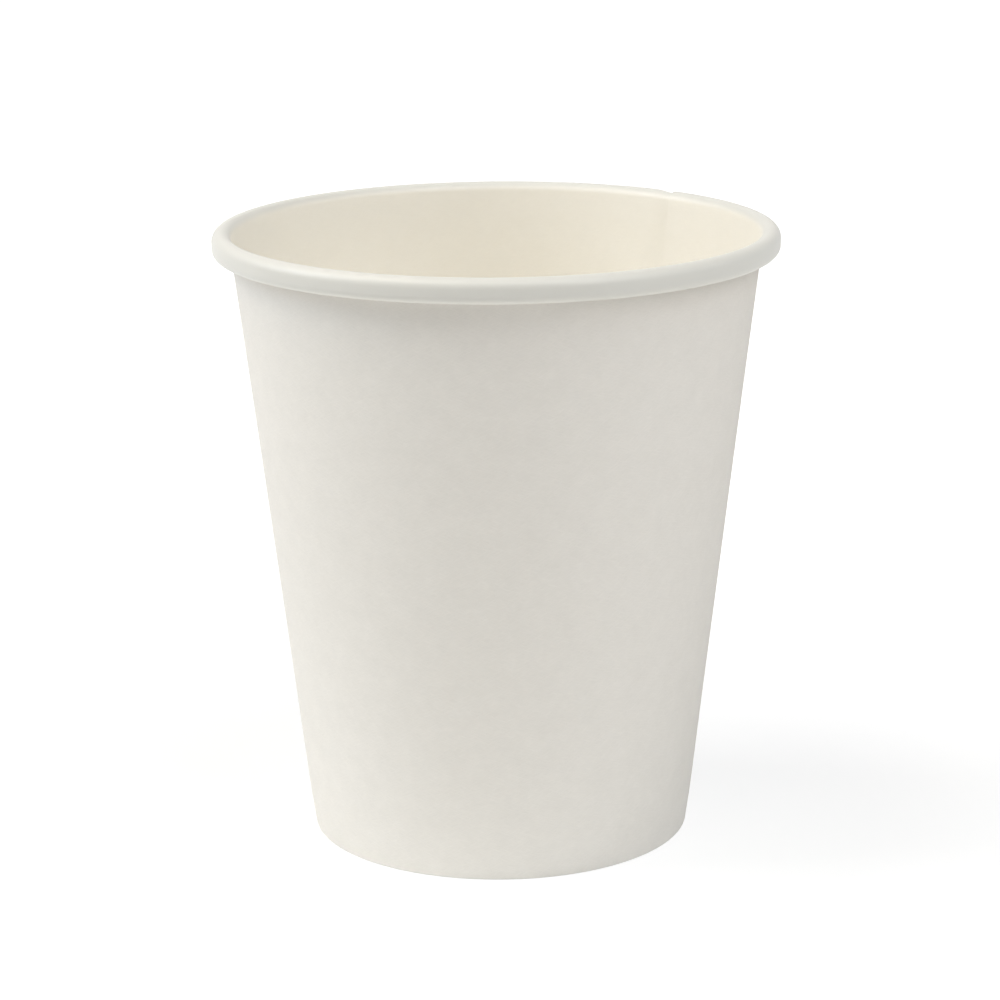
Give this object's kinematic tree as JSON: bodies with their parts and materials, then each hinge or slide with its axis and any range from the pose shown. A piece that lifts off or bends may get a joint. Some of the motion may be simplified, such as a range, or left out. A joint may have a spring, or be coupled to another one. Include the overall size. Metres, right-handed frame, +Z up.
{
  "type": "paper coffee cup",
  "caption": "Small plain white paper cup for hot drinks: tapered lapped wall with a rolled rim, and a recessed base held in a folded hem.",
  "frame": {"origin": "middle of the foot circle, on the surface that the cup stands on", "axes": "+Z up along the cup's axis, -Y towards the front, side seam at the back right between +X and +Y"},
  "size_m": [0.073, 0.073, 0.08],
  "materials": {
    "wall_board": "matte white board outside, thin satin coating inside",
    "base_board": "satin coated board"
  },
  "bodies": {
    "root": {"sidewall": "wall_board", "base": "base_board"}
  },
  "joints": []
}
